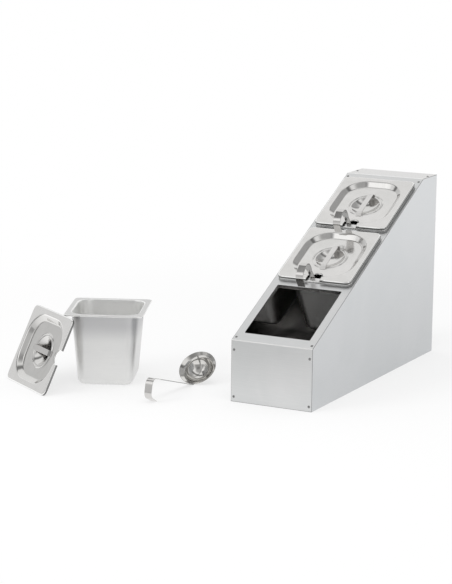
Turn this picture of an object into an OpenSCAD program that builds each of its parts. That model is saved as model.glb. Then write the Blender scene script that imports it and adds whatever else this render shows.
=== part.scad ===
/* [Housing] */
// Width of the housing from side to side
housing_width = 176; // [172:0.5:190]
// Depth of the housing from front to back
housing_depth = 616; // [612:1:640]
// Height of the front panel
front_height = 125; // [118:1:140]
// Height of the flat top at the back
back_height = 389; // [380:1:400]
// Depth of the flat top at the back
top_depth = 76; // [70:1:90]
// Thickness of the housing's sheet metal
housing_sheet = 1.2; // [1:0.1:1.5]
// Radius inside the folds of the housing
fold_radius = 1.5; // [1:0.1:3]
// Width of the flanges that the side panels turn inward
side_flange = 13; // [11:0.5:13.5]

/* [Openings] */
// Width of each opening in the slope
opening_width = 142; // [141:0.5:144]
// Length of each opening down the slope
opening_length = 163; // [162:0.5:170]
// Distance up the slope to the first opening
first_opening = 25; // [22:0.5:28]
// Distance up the slope from one opening to the next
bay_pitch = 193; // [188:0.5:196]
// Corner radius of the openings
opening_radius = 2.5; // [2:0.5:8]
// Depth of the lip turned down round each opening
lip_depth = 8; // [5:0.5:12]

/* [Pans] */
// Width of a pan over its flange
pan_width = 162; // [160:0.5:164]
// Length of a pan over its flange
pan_length = 176; // [174:0.5:178]
// Depth of a pan
pan_depth = 150; // [140:1:156]
// Width of the flange round a pan
pan_flange = 12; // [11.5:0.1:13]
// Height of the edge turned down round the flange
pan_edge = 3; // [2:0.25:4]
// Taper of the pan's walls in degrees
pan_taper = 5; // [4:0.25:7]
// Thickness of the pan's sheet metal
pan_sheet = 0.8; // [0.6:0.1:1]
// Corner radius of the pan's body at its mouth
pan_corner = 30; // [28:0.5:34]
// Corner radius of the flanges of pans and lids
flange_corner = 11; // [8:0.5:14]
// Inside radius between a pan's walls and its bottom
pan_bottom_radius = 13; // [8:0.5:14]
// How far the pans sit down the slope from the middle of their openings
pan_shift = 5; // [4:0.25:5]
// Clearance between pieces that lift off one another
seat_gap = 0.3; // [0.2:0.05:0.4]

/* [Lids] */
// Height of a lid's turned-down edge
lid_edge = 4.2; // [3.5:0.1:6]
// Thickness of the lid's sheet metal
lid_sheet = 0.8; // [0.6:0.1:1]
// Width of the flat border round a lid
lid_border = 12.5; // [12.5:0.5:15]
// Width of the sloped step inside the border
step_width = 10; // [7:0.5:11]
// Depth of the step
step_depth = 9; // [6:0.5:10]
// Corner radius at the top of the step
step_corner = 50; // [46:1:52]
// Diameter of the finger cup in the middle of a lid
cup_diameter = 62; // [56:0.5:64]
// Depth of the finger cup below the lid's floor
cup_depth = 12; // [8:0.5:13]
// Radius of the flat at the bottom of the cup
cup_flat = 10; // [8:0.5:12]
// Diameter of the raised bead round the cup
bead_diameter = 75; // [73:0.5:76]
// Width of the bead
bead_width = 3.6; // [3:0.2:4]
// Height of the bead
bead_height = 1; // [0.6:0.1:1.2]
// Width of the notch for the ladle
notch_width = 30.2; // [29:0.2:31]
// Depth of the notch from the lid's edge
notch_depth = 30; // [28:0.5:32]
// Length of the strip handle over the cup
grip_length = 82; // [80:0.5:84]
// Width of the strip handle
grip_width = 12; // [9:0.5:14]
// Height of the strip handle above the lid's floor
grip_rise = 7; // [5:0.25:8]
// Thickness of the strip handle
grip_sheet = 1.5; // [1.2:0.1:2]

/* [Ladles] */
// Diameter of a ladle's bowl over its rim
bowl_diameter = 80; // [76:0.5:82]
// Depth of the bowl
bowl_depth = 28; // [26:0.5:30]
// Width of the flared rim
flare_width = 8.5; // [7:0.25:10]
// Depth of the flared rim
flare_depth = 6; // [5:0.25:8]
// Thickness of the bowl's sheet metal
bowl_sheet = 1; // [0.8:0.1:1.2]
// Tilt of the bowl from the stem in degrees
bowl_tilt = 28.8; // [26:0.2:31]
// Length of the ladle from its rim to the top of the hook
ladle_length = 177; // [170:0.5:182]
// Width of the ladle's stem
stem_width = 11; // [9:0.5:13]
// Width of the strip at the hook
hook_width = 16; // [14:0.2:17]
// Distance across the hook
hook_span = 40; // [36:0.5:42]
// Length of the hook's free leg
hook_leg = 27; // [24:0.5:29]
// Thickness of the ladle's strip
strip_sheet = 1.5; // [1.2:0.1:1.8]
// Lean of a hung ladle toward the front in degrees
ladle_lean = 18.1; // [17:0.1:19]
// Distance of a hung ladle's middle from the caddy's middle
ladle_offset = -6.5; // [-7:0.1:-6]

/* [Rivets] */
// Diameter of a rivet's head
rivet_head = 5.6; // [5:0.1:6.5]
// Height of a rivet's head
rivet_rise = 1.3; // [1:0.1:2]
// Diameter of a rivet's shank
rivet_shank = 3.2; // [3:0.1:3.6]

/* [Pieces standing apart] */
// Distance of the loose pan to the left of the caddy's middle
loose_pan_x = -393.3; // [-400:0.5:-388]
// Distance of the loose pan behind the caddy's middle
loose_pan_y = -266; // [-272:0.5:-260]
// Turn of the loose pan in degrees
loose_pan_turn = 23.3; // [22:0.1:25]
// Distance of the loose ladle to the left of the caddy's middle
loose_ladle_x = -220.5; // [-226:0.5:-214]
// Distance of the loose ladle's rim behind the caddy's middle
loose_ladle_y = -229.8; // [-240:0.5:-220]
// Lean of the loose lid from upright in degrees
loose_lid_lean = 24.8; // [22:0.1:27]

/* [Hidden] */
$fn = 96;
slope_run = housing_depth - top_depth;
slope_rise = back_height - front_height;
slope_angle = atan2(slope_rise, slope_run);
slope_length = norm([slope_run, slope_rise]);
half_width = housing_width / 2;
half_depth = housing_depth / 2;
rivet_hole = rivet_shank + 0.2;
rivet_in = 6;
stem_gap = 0.4;
leg_flare = 11;
hook_bend = 13;
taper_start = 138;
taper_end = 158;
lid_face_turn = 57.8;
lid_slip = 35.7;
corner_in_pan = [flange_corner - pan_width / 2, flange_corner - pan_length / 2];
// Heights above the sheet that a pan or a lid rests on
pan_top = seat_gap + pan_edge;
lid_bottom = pan_top + seat_gap;
lid_top = lid_bottom + lid_edge;
pan_floor = pan_top - pan_depth + pan_sheet;
// The wall of a pan, found from the bend at its mouth and the one at its floor
mouth_bend = 2;
step_bend = 1;
mouth_centre = [pan_corner + mouth_bend, pan_top - pan_sheet - mouth_bend];
wall_normal = [-cos(pan_taper), sin(pan_taper)];
wall_point = mouth_centre + (mouth_bend + pan_sheet) * wall_normal;
floor_centre_height = pan_floor + pan_bottom_radius;
floor_centre = [
    (wall_point * wall_normal + pan_bottom_radius - floor_centre_height * wall_normal[1]) / wall_normal[0],
    floor_centre_height
];
pan_corner_x = pan_width / 2 - pan_flange - pan_corner;
pan_corner_y = pan_length / 2 - pan_flange - pan_corner;
// A ladle, whose origin is on the rim where the stem leaves it
cup_radius = bowl_diameter / 2 - flare_width;
cup_height = bowl_depth - flare_depth;
cup_sphere = (cup_radius * cup_radius + cup_height * cup_height) / (2 * cup_height);
rim_centre = [0, bowl_diameter / 2 * cos(bowl_tilt), -bowl_diameter / 2 * sin(bowl_tilt)];
sphere_drop = bowl_depth - cup_sphere;
sphere_centre = rim_centre - sphere_drop * [0, sin(bowl_tilt), cos(bowl_tilt)];
hung_sphere_height = sphere_centre[1] * sin(ladle_lean) + sphere_centre[2] * cos(ladle_lean);
ladle_height = pan_floor + seat_gap + cup_sphere - hung_sphere_height;
// The stem leans on the bend at the front of the pan's mouth
mouth_outer = mouth_bend + pan_sheet;
stem_front = pan_flange - mouth_bend
    + (mouth_outer * (1 - sin(ladle_lean)) + stem_gap) / cos(ladle_lean);
ladle_advance = stem_front + (pan_top - ladle_height) * tan(ladle_lean)
    + strip_sheet / cos(ladle_lean);
// The hook, from the top of the stem to the tip of its free leg, as y and z of the ladle
hook_corner = [strip_sheet / 2 - hook_span, ladle_length - strip_sheet / 2 - 2];
hook_tip = hook_corner - hook_leg * [sin(leg_flare), cos(leg_flare)];
// The loose ladle lies on its bowl and on the tip of its hook
tip_to_cup = [sphere_centre[1], sphere_centre[2]] - hook_tip + strip_sheet / 2 * [1, 0];
loose_ladle_pitch = asin(cup_sphere / norm(tip_to_cup)) - atan2(tip_to_cup[1], tip_to_cup[0]);
loose_ladle_height = cup_sphere
    - sphere_centre[1] * sin(loose_ladle_pitch) - sphere_centre[2] * cos(loose_ladle_pitch);
// The loose lid stands on its edge and leans on the front left corner of the loose pan
loose_corner = [
    loose_pan_x + corner_in_pan[0] * cos(loose_pan_turn) - corner_in_pan[1] * sin(loose_pan_turn),
    loose_pan_y + corner_in_pan[0] * sin(loose_pan_turn) + corner_in_pan[1] * cos(loose_pan_turn),
    0
];
lid_reach = flange_corner + seat_gap
    + min(pan_depth, pan_width * cos(loose_lid_lean)) * tan(loose_lid_lean);
loose_lid_foot = loose_corner - lid_reach * [cos(lid_face_turn), sin(lid_face_turn), 0]
    + lid_slip * [-sin(lid_face_turn), cos(lid_face_turn), 0];

// General shapes

module rounded_rect(width, length, radius) {
    square([width - 2 * radius, length], center = true);
    square([width, length - 2 * radius], center = true);
    for (x = [-1, 1])
        for (y = [-1, 1])
            translate([x * (width / 2 - radius), y * (length / 2 - radius)])
                circle(radius);
}

module rounded_frame(width, length, radius, wall) {
    difference() {
        rounded_rect(width, length, radius);
        rounded_rect(width - 2 * wall, length - 2 * wall, radius - wall);
    }
}

// A piece of a ring between two directions less than 170 degrees apart
module ring_piece(centre, inner, outer, from, to) {
    reach = 4 * outer;
    middle = (from + to) / 2;
    translate(centre)
        intersection() {
            difference() {
                circle(outer);
                circle(inner);
            }
            polygon([
                [0, 0],
                reach * [cos(from), sin(from)],
                reach * [cos(middle), sin(middle)],
                reach * [cos(to), sin(to)]
            ]);
        }
}

function unit(v) = v / norm(v);
function left_of(v) = [-v[1], v[0]];
function cross_z(a, b) = a[0] * b[1] - a[1] * b[0];
function turn_at(p, i) =
    atan2(cross_z(p[i] - p[i - 1], p[i + 1] - p[i]), (p[i] - p[i - 1]) * (p[i + 1] - p[i]));
function trim_at(p, i, bend) =
    i == 0 || i == len(p) - 1 ? 0 : bend * tan(abs(turn_at(p, i)) / 2);

// A strip of sheet seen from its edge, along the points of its middle line with round bends.
// The straight stretches run into the bends by the lap
module bent_strip(points, sheet, bend, lap = 0) {
    for (i = [0 : len(points) - 2]) {
        way = unit(points[i + 1] - points[i]);
        begin = points[i] + (trim_at(points, i, bend) - lap) * way;
        end = points[i + 1] - (trim_at(points, i + 1, bend) - lap) * way;
        side = sheet / 2 * left_of(way);
        polygon([begin - side, end - side, end + side, begin + side]);
    }
    for (i = [1 : 1 : len(points) - 2]) {
        way = unit(points[i] - points[i - 1]);
        turn = turn_at(points, i);
        hand = turn > 0 ? 1 : -1;
        centre = points[i] - trim_at(points, i, bend) * way + hand * bend * left_of(way);
        first = atan2(-hand * left_of(way)[1], -hand * left_of(way)[0]);
        ring_piece(centre, bend - sheet / 2, bend + sheet / 2, first, first + turn);
    }
}

// Sweeps a wall profile round a rectangle whose corners are arcs about the given centres
module swept_wall(corner_x, corner_y) {
    for (k = [0 : 3]) {
        along = k % 2 == 0 ? corner_y : corner_x;
        out = k % 2 == 0 ? corner_x : corner_y;
        rotate([0, 0, 90 * k]) {
            translate([out, along, 0])
                rotate([90, 0, 0])
                    linear_extrude(2 * along)
                        children();
            translate([out, along, 0])
                rotate_extrude(angle = 90)
                    children();
        }
    }
}

// Places

function housing_outline(inset) = [
    [-half_depth + inset, 0],
    [-half_depth + inset, front_height + inset * tan(slope_angle) - inset / cos(slope_angle)],
    [
        -half_depth + (back_height - inset - front_height + inset / cos(slope_angle)) / tan(slope_angle),
        back_height - inset
    ],
    [half_depth - inset, back_height - inset],
    [half_depth - inset, 0]
];

// Stands its children on the slope, this far up it, with y up the slope and z square to it
module on_slope(up) {
    translate([0, -half_depth, front_height])
        rotate([slope_angle, 0, 0])
            translate([0, up, 0])
                children();
}

function opening_middle(bay) = first_opening + opening_length / 2 + bay * bay_pitch;
function pan_middle(bay) = opening_middle(bay) - pan_shift;

module in_bay(bay) {
    on_slope(pan_middle(bay))
        children();
}

module hung_ladle(bay) {
    in_bay(bay)
        translate([ladle_offset, ladle_advance - pan_length / 2, ladle_height])
            rotate([ladle_lean, 0, 0])
                children();
}

module at_loose_pan() {
    translate([loose_pan_x, loose_pan_y, pan_depth - pan_top])
        rotate([0, 0, loose_pan_turn])
            children();
}

module at_loose_lid() {
    translate(loose_lid_foot)
        rotate([0, 0, lid_face_turn])
            rotate([0, loose_lid_lean - 90, 0])
                translate([pan_width / 2, 0, -lid_bottom])
                    children();
}

module at_loose_ladle() {
    translate([loose_ladle_x, loose_ladle_y, loose_ladle_height])
        rotate([loose_ladle_pitch, 0, 0])
            children();
}

// Housing

module skin_side_view() {
    line = housing_outline(housing_sheet / 2);
    bent_strip([line[0], line[1], line[2], line[3] + [housing_sheet / 2, 0]],
        housing_sheet, fold_radius + housing_sheet / 2);
}

module across_housing(width) {
    rotate([90, 0, 90])
        translate([0, 0, -width / 2])
            linear_extrude(width)
                children();
}

// Each rivet place is drawn with its axis along z and the outside of the sheet at zero
module front_rivet_places() {
    for (x = [-1, 1])
        for (z = [10, front_height - 20])
            translate([x * (half_width - rivet_in), -half_depth, z])
                rotate([90, 0, 0])
                    children();
}

module slope_rivet_places() {
    for (x = [-1, 1])
        for (up = [10, slope_length - 13])
            on_slope(up)
                translate([x * (half_width - rivet_in), 0, 0])
                    children();
}

module top_rivet_places() {
    for (x = [-1, 1])
        translate([x * (half_width - rivet_in), half_depth - top_depth / 2, back_height])
            children();
}

module back_rivet_places() {
    for (x = [-1, 1])
        for (z = [20, back_height / 2, back_height - 20])
            translate([x * (half_width - rivet_in), half_depth, z])
                rotate([-90, 0, 0])
                    children();
}

module rivet_bore() {
    translate([0, 0, -4])
        cylinder(h = 8, d = rivet_hole);
}

module rivet() {
    dome = (rivet_head * rivet_head / 4 + rivet_rise * rivet_rise) / (2 * rivet_rise);
    grip = 2 * housing_sheet;
    rotate_extrude() {
        intersection() {
            translate([0, rivet_rise - dome])
                circle(dome);
            square([rivet_head, rivet_rise + 1]);
        }
        translate([0, -grip - 1])
            square([rivet_shank / 2, grip + 1]);
        translate([0, -grip - 1])
            square([rivet_head / 2, 1]);
    }
}

module top_skin() {
    color("gainsboro")
        difference() {
            union() {
                across_housing(housing_width)
                    skin_side_view();
                for (bay = [0 : 2])
                    on_slope(opening_middle(bay))
                        translate([0, 0, -lip_depth])
                            linear_extrude(lip_depth - housing_sheet / 2)
                                rounded_rect(opening_width + 2 * housing_sheet,
                                    opening_length + 2 * housing_sheet,
                                    opening_radius + housing_sheet);
            }
            for (bay = [0 : 2])
                on_slope(opening_middle(bay))
                    translate([0, 0, -lip_depth - 1])
                        linear_extrude(lip_depth + 2)
                            rounded_rect(opening_width, opening_length, opening_radius);
            front_rivet_places()
                rivet_bore();
            slope_rivet_places()
                rivet_bore();
            top_rivet_places()
                rivet_bore();
        }
}

module side_panel(hand) {
    difference() {
        union() {
            translate([hand * (half_width - housing_sheet / 2), 0, 0])
                across_housing(housing_sheet)
                    polygon(housing_outline(housing_sheet));
            translate([hand * (half_width - side_flange / 2), 0, 0])
                across_housing(side_flange)
                    difference() {
                        polygon(housing_outline(housing_sheet));
                        translate([0, -1])
                            polygon(housing_outline(2 * housing_sheet));
                        polygon(housing_outline(2 * housing_sheet));
                    }
        }
        front_rivet_places()
            rivet_bore();
        slope_rivet_places()
            rivet_bore();
        top_rivet_places()
            rivet_bore();
        back_rivet_places()
            rivet_bore();
    }
}

module left_side() {
    color("silver")
        side_panel(-1);
}

module right_side() {
    color("silver")
        side_panel(1);
}

module back_panel() {
    color("silver")
        difference() {
            translate([-half_width, half_depth - housing_sheet, 0])
                cube([housing_width, housing_sheet, back_height - housing_sheet]);
            back_rivet_places()
                rivet_bore();
        }
}

module base_plate() {
    plate_width = housing_width - 2 * housing_sheet;
    plate_depth = housing_depth - 4 * housing_sheet;
    turned_edge = 12;
    color("silver")
        difference() {
            translate([-plate_width / 2, -plate_depth / 2, 0])
                cube([plate_width, plate_depth, turned_edge]);
            translate([-plate_width / 2 + housing_sheet, -plate_depth / 2 + housing_sheet, housing_sheet])
                cube([plate_width - 2 * housing_sheet, plate_depth - 2 * housing_sheet, turned_edge]);
            front_rivet_places()
                translate([0, 0, -5])
                    cylinder(h = 5, d = rivet_head + 1);
        }
}

module front_rivets() {
    color("white")
        front_rivet_places()
            rivet();
}

module slope_rivets() {
    color("white")
        slope_rivet_places()
            rivet();
}

module top_rivets() {
    color("white")
        top_rivet_places()
            rivet();
}

module back_rivets() {
    color("white")
        back_rivet_places()
            rivet();
}

// Pans, drawn on the plane that their flange rests over, at height zero

module pan_wall_profile() {
    ring_piece(mouth_centre, mouth_bend, mouth_bend + pan_sheet, 90, 180 - pan_taper);
    polygon([
        mouth_centre + mouth_bend * wall_normal,
        wall_point,
        floor_centre - pan_bottom_radius * wall_normal,
        floor_centre - (pan_bottom_radius + pan_sheet) * wall_normal
    ]);
    ring_piece(floor_centre, pan_bottom_radius, pan_bottom_radius + pan_sheet, -90, -pan_taper);
}

module pan() {
    floor_width = 2 * (pan_corner_x + floor_centre[0]);
    floor_length = 2 * (pan_corner_y + floor_centre[0]);
    mouth_radius = mouth_centre[0];
    swept_wall(pan_corner_x, pan_corner_y)
        pan_wall_profile();
    translate([0, 0, pan_floor - pan_sheet])
        linear_extrude(pan_sheet)
            rounded_rect(floor_width, floor_length, floor_centre[0]);
    translate([0, 0, pan_top - pan_sheet])
        linear_extrude(pan_sheet)
            difference() {
                rounded_rect(pan_width, pan_length, flange_corner);
                rounded_rect(2 * (pan_corner_x + mouth_radius), 2 * (pan_corner_y + mouth_radius),
                    mouth_radius);
            }
    translate([0, 0, pan_top - pan_edge])
        linear_extrude(pan_edge - pan_sheet)
            rounded_frame(pan_width, pan_length, flange_corner, pan_sheet);
}

module middle_pan() {
    color("lightsteelblue")
        in_bay(1)
            pan();
}

module rear_pan() {
    color("lightsteelblue")
        in_bay(2)
            pan();
}

module loose_pan() {
    color("lightsteelblue")
        at_loose_pan()
            pan();
}

// Lids, drawn on the same plane as the pan that they close

module lid_step_profile() {
    middle = lid_top - lid_sheet / 2;
    bent_strip([
        [step_corner + 2, middle],
        [step_corner, middle],
        [step_corner - step_width, middle - step_depth],
        [step_corner - step_width - 2, middle - step_depth]
    ], lid_sheet, step_bend);
}

module lid_dish_profile() {
    floor_middle = lid_top - step_depth - lid_sheet / 2;
    bead_outer = bead_diameter / 2;
    cup_edge = cup_diameter / 2;
    dish = (cup_edge * cup_edge + cup_depth * cup_depth) / (2 * cup_depth);
    bead_inner = bead_outer - bead_width;
    bead = (bead_width * bead_width / 4 + bead_height * bead_height) / (2 * bead_height);
    half_bead = asin(bead_width / 2 / bead);
    overlap = 0.4;
    bent_strip([[bead_outer + 0.5, floor_middle], [bead_outer - overlap, floor_middle]], lid_sheet, 1);
    ring_piece([bead_outer - bead_width / 2, floor_middle + bead_height - bead],
        bead - lid_sheet / 2, bead + lid_sheet / 2, 90 - half_bead, 90 + half_bead);
    bent_strip([[bead_inner + overlap, floor_middle], [cup_edge - overlap, floor_middle]], lid_sheet, 1);
    translate([0, dish - cup_depth]) {
        ring_piece([0, floor_middle], dish - lid_sheet / 2, dish + lid_sheet / 2,
            asin(cup_flat / dish) - 90, atan2(cup_depth - dish, cup_edge));
        translate([0, floor_middle - sqrt(dish * dish - cup_flat * cup_flat) - lid_sheet / 2])
            square([cup_flat + overlap, lid_sheet]);
    }
}

module lid() {
    corner_x = pan_width / 2 - lid_border - step_corner;
    corner_y = pan_length / 2 - lid_border - step_corner;
    outer = step_corner + 2;
    inner = step_corner - step_width - 2;
    difference() {
        union() {
            translate([0, 0, lid_top - lid_sheet])
                linear_extrude(lid_sheet)
                    difference() {
                        rounded_rect(pan_width, pan_length, flange_corner);
                        rounded_rect(2 * (corner_x + outer), 2 * (corner_y + outer), outer);
                    }
            translate([0, 0, lid_bottom])
                linear_extrude(lid_edge - lid_sheet)
                    rounded_frame(pan_width, pan_length, flange_corner, lid_sheet);
            swept_wall(corner_x, corner_y)
                lid_step_profile();
            translate([0, 0, lid_top - step_depth - lid_sheet])
                linear_extrude(lid_sheet)
                    difference() {
                        rounded_rect(2 * (corner_x + inner), 2 * (corner_y + inner), inner);
                        circle(bead_diameter / 2 + 0.5);
                    }
            rotate_extrude()
                lid_dish_profile();
        }
        translate([0, -pan_length / 2, lid_top - step_depth - 3])
            linear_extrude(step_depth + 4) {
                translate([0, notch_depth - notch_width / 2])
                    circle(notch_width / 2);
                translate([-notch_width / 2, -1])
                    square([notch_width, notch_depth - notch_width / 2 + 1]);
            }
    }
}

module lid_grip() {
    floor_height = lid_top - step_depth;
    foot = floor_height + grip_sheet / 2;
    top = floor_height + grip_rise - grip_sheet / 2;
    end = grip_length / 2;
    rotate([90, 0, 90])
        translate([0, 0, -grip_width / 2])
            linear_extrude(grip_width)
                bent_strip([
                    [-end, foot],
                    [3 - end, foot],
                    [8 - end, top],
                    [end - 8, top],
                    [end - 3, foot],
                    [end, foot]
                ], grip_sheet, 1.4);
}

module middle_lid() {
    color("whitesmoke")
        in_bay(1)
            lid();
}

module rear_lid() {
    color("whitesmoke")
        in_bay(2)
            lid();
}

module loose_lid() {
    color("whitesmoke")
        at_loose_lid()
            lid();
}

module middle_grip() {
    color("lightgray")
        in_bay(1)
            lid_grip();
}

module rear_grip() {
    color("lightgray")
        in_bay(2)
            lid_grip();
}

module loose_grip() {
    color("lightgray")
        at_loose_lid()
            lid_grip();
}

// Ladles

module bowl_profile() {
    rim = bowl_diameter / 2;
    junction = [cup_radius, -flare_depth];
    sphere_height = cup_sphere - bowl_depth;
    join_angle = atan2(-flare_depth - sphere_height, cup_radius);
    inward = left_of(unit([flare_width, flare_depth]));
    ring_piece([0, sphere_height], cup_sphere - bowl_sheet, cup_sphere, -90, join_angle);
    polygon([
        junction,
        [rim, 0],
        [rim, 0] + bowl_sheet * inward,
        junction + bowl_sheet * inward,
        [0, sphere_height] + (cup_sphere - bowl_sheet) * [cos(join_angle), sin(join_angle)]
    ]);
}

module ladle_bowl() {
    translate(rim_centre)
        rotate([-bowl_tilt, 0, 0])
            rotate_extrude()
                bowl_profile();
}

module ladle_stem() {
    flare_line = flare_width * [cos(bowl_tilt), -sin(bowl_tilt)]
        - flare_depth * [sin(bowl_tilt), cos(bowl_tilt)];
    outward = left_of(unit(-flare_line));
    foot = 0.85 * flare_line + strip_sheet / 2 * outward;
    stem_line = -strip_sheet / 2;
    difference() {
        intersection() {
            rotate([90, 0, 90])
                translate([0, 0, -hook_width / 2])
                    linear_extrude(hook_width) {
                        bent_strip([foot, [stem_line, 0]], strip_sheet, 1);
                        bent_strip([
                            [stem_line, -1],
                            [stem_line, ladle_length - strip_sheet / 2],
                            hook_corner,
                            hook_tip
                        ], strip_sheet, hook_bend, 0.002);
                    }
            union() {
                rotate([90, 0, 0])
                    translate([0, 0, -20])
                        linear_extrude(40)
                            polygon([
                                [-stem_width / 2, -20],
                                [stem_width / 2, -20],
                                [stem_width / 2, taper_start],
                                [hook_width / 2, taper_end],
                                [hook_width / 2, ladle_length + 1],
                                [-hook_width / 2, ladle_length + 1],
                                [-hook_width / 2, taper_end],
                                [-stem_width / 2, taper_start]
                            ]);
                translate([-hook_width / 2, -hook_span - 20, taper_start - 20])
                    cube([hook_width, hook_span, ladle_length - taper_start + 21]);
            }
        }
        translate(rim_centre)
            rotate([-bowl_tilt, 0, 0])
                rotate_extrude()
                    polygon([
                        [0, 5],
                        [bowl_diameter / 2, 5],
                        [bowl_diameter / 2, 0],
                        [cup_radius, -flare_depth],
                        [0, -flare_depth]
                    ]);
    }
}

module middle_bowl() {
    color("lightgray")
        hung_ladle(1)
            ladle_bowl();
}

module rear_bowl() {
    color("lightgray")
        hung_ladle(2)
            ladle_bowl();
}

module loose_bowl() {
    color("lightgray")
        at_loose_ladle()
            ladle_bowl();
}

module middle_stem() {
    color("silver")
        hung_ladle(1)
            ladle_stem();
}

module rear_stem() {
    color("silver")
        hung_ladle(2)
            ladle_stem();
}

module loose_stem() {
    color("silver")
        at_loose_ladle()
            ladle_stem();
}

top_skin();
left_side();
right_side();
back_panel();
base_plate();
front_rivets();
slope_rivets();
top_rivets();
back_rivets();
middle_pan();
rear_pan();
loose_pan();
middle_lid();
rear_lid();
loose_lid();
middle_grip();
rear_grip();
loose_grip();
middle_bowl();
rear_bowl();
loose_bowl();
middle_stem();
rear_stem();
loose_stem();
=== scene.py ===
import math

import bmesh
import bpy
import numpy as np
from mathutils import Matrix, Vector


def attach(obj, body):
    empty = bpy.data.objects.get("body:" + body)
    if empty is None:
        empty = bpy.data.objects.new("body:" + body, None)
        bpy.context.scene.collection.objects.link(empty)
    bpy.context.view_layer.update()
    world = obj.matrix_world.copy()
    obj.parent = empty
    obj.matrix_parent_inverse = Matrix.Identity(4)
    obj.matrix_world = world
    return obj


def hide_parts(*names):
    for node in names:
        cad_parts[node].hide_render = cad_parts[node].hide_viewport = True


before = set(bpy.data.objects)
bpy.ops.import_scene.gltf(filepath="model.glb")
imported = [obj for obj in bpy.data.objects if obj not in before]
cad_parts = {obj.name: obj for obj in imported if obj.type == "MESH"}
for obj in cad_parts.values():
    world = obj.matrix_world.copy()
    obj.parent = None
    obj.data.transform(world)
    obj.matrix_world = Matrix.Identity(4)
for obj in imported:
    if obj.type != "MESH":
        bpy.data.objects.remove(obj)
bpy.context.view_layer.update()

metre = 0.001  # sizes are in millimetres, apart from most of the studio's
merging = {"points": 0.02, "slivers": 0.01, "cadPoints": 0.01}  # distances that count as none


# Places

def shiftBy(x, y, z):
    return np.array(Matrix.Translation((x, y, z)))


def turnAbout(axis, degrees):
    return np.array(Matrix.Rotation(math.radians(degrees), 4, axis))


def carried(points, place):  # each point times the place, a 4 by 4 matrix
    return np.asarray(points, float).reshape(-1, 3) @ place[:3, :3].T + place[:3, 3]


# Lines and grids of points

def arcPoints(centre, radius, first, last, count):
    # Points round a centre from one direction to another, in degrees
    angle = np.radians(np.linspace(first, last, count))
    return np.stack([centre[0] + radius * np.cos(angle), centre[1] + radius * np.sin(angle)], 1)


def bentPath(corners, bend, steps):
    # A line through the corners with each corner rounded. The arc starts and ends bend * tan(turn / 2) from
    # its corner.
    corners = np.asarray(corners, float)
    points = [corners[:1]]
    for i in range(1, len(corners) - 1):
        before = corners[i] - corners[i - 1]
        after = corners[i + 1] - corners[i]
        before /= np.linalg.norm(before)
        after /= np.linalg.norm(after)
        turn = math.atan2(before[0] * after[1] - before[1] * after[0], before @ after)
        trim = bend * math.tan(abs(turn) / 2)
        side = np.array([-before[1], before[0]]) * math.copysign(1, turn)
        centre = corners[i] - trim * before + bend * side
        start = math.degrees(math.atan2(-side[1], -side[0]))
        points.append(arcPoints(centre, bend, start, start + math.degrees(turn), steps))
    points.append(corners[-1:])
    return np.concatenate(points)


def lengthsAlong(path):  # the distance run from the path's start to each of its points
    return np.concatenate([[0], np.cumsum(np.linalg.norm(np.diff(path, axis=0), axis=1))])


def refine(path, most, least=0.05):
    # Extra points on the straight stretches, none more than most apart, and none closer than least
    length = lengthsAlong(path)
    every = np.unique(np.round(np.concatenate([length, np.arange(0, length[-1], most)]), 4))
    every = every[np.concatenate([[True], np.diff(every) > least])]
    return np.stack([np.interp(every, length, path[:, 0]), np.interp(every, length, path[:, 1])], 1)


def gridFaces(rows, columns):
    # Quads between neighbouring rows and columns of a grid whose last column is joined to its first
    r, c = np.meshgrid(np.arange(rows - 1), np.arange(columns), indexing="ij")
    n = (c + 1) % columns
    corners = [r * columns + c, r * columns + n, (r + 1) * columns + n, (r + 1) * columns + c]
    return np.stack(corners, -1).reshape(-1, 4)


def revolve(profile, columns):
    # Each point (radius, height) of the profile goes round the z axis
    angle = np.linspace(0, 2 * np.pi, columns, endpoint=False)
    radius, height = profile[:, :1], profile[:, 1:]
    grid = np.stack([radius * np.cos(angle), radius * np.sin(angle), height + 0 * angle], -1)
    return grid, gridFaces(len(profile), columns)


def stripAlong(path, widths, sheet, edge=0.35):
    # A strip whose middle line is the path (y, z) and whose width lies along x. Its section is a rectangle
    # with rounded edges, carried along the path on the path's own normal.
    step = np.gradient(path, axis=0)
    step /= np.linalg.norm(step, axis=1)[:, None]
    normal = np.stack([-step[:, 1], step[:, 0]], 1)
    quarter = np.radians([0, 30, 60, 90])
    angle = np.concatenate([quarter + k * np.pi / 2 for k in range(4)])
    signX = np.repeat([1, -1, -1, 1], 4)
    signN = np.repeat([1, 1, -1, -1], 4)
    across = signX * (np.asarray(widths)[:, None] / 2 - edge) + edge * np.cos(angle)
    off = signN * (sheet / 2 - edge) + edge * np.sin(angle)
    grid = np.stack([across, path[:, :1] + normal[:, :1] * off, path[:, 1:] + normal[:, 1:] * off], -1)
    count = len(angle)
    faces = gridFaces(len(path), count).tolist()
    faces.append(list(range(count)))
    faces.append(list(range((len(path) - 1) * count, len(path) * count))[::-1])
    return grid, faces


def cornerRays(centreX, centreY, frontX, cornerSteps, sideSteps):
    # One ray for each column: it starts on the rectangle of corner centres and points outwards.
    # The columns run round from the front side's left end.
    corner = np.linspace(0, np.pi / 2, cornerSteps)[1:-1]
    side = np.linspace(-1, 1, sideSteps)
    ones = np.ones(sideSteps)
    starts, ways = [], []
    sides = [(frontX, -centreY * np.ones(len(frontX)), 0, -1), (centreX * ones, side * centreY, 1, 0),
             (-side * centreX, centreY * ones, 0, 1), (-centreX * ones, -side * centreY, -1, 0)]
    for k, (x, y, wayX, wayY) in enumerate(sides):
        starts.append(np.stack([x, y], 1))
        ways.append(np.tile([[wayX, wayY]], (len(x), 1)))
        angle = corner + (k - 1) * np.pi / 2
        ways.append(np.stack([np.cos(angle), np.sin(angle)], 1))
        starts.append(np.tile([[x[-1], y[-1]]], (len(corner), 1)))
    return np.concatenate(starts), np.concatenate(ways).astype(float)


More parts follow.
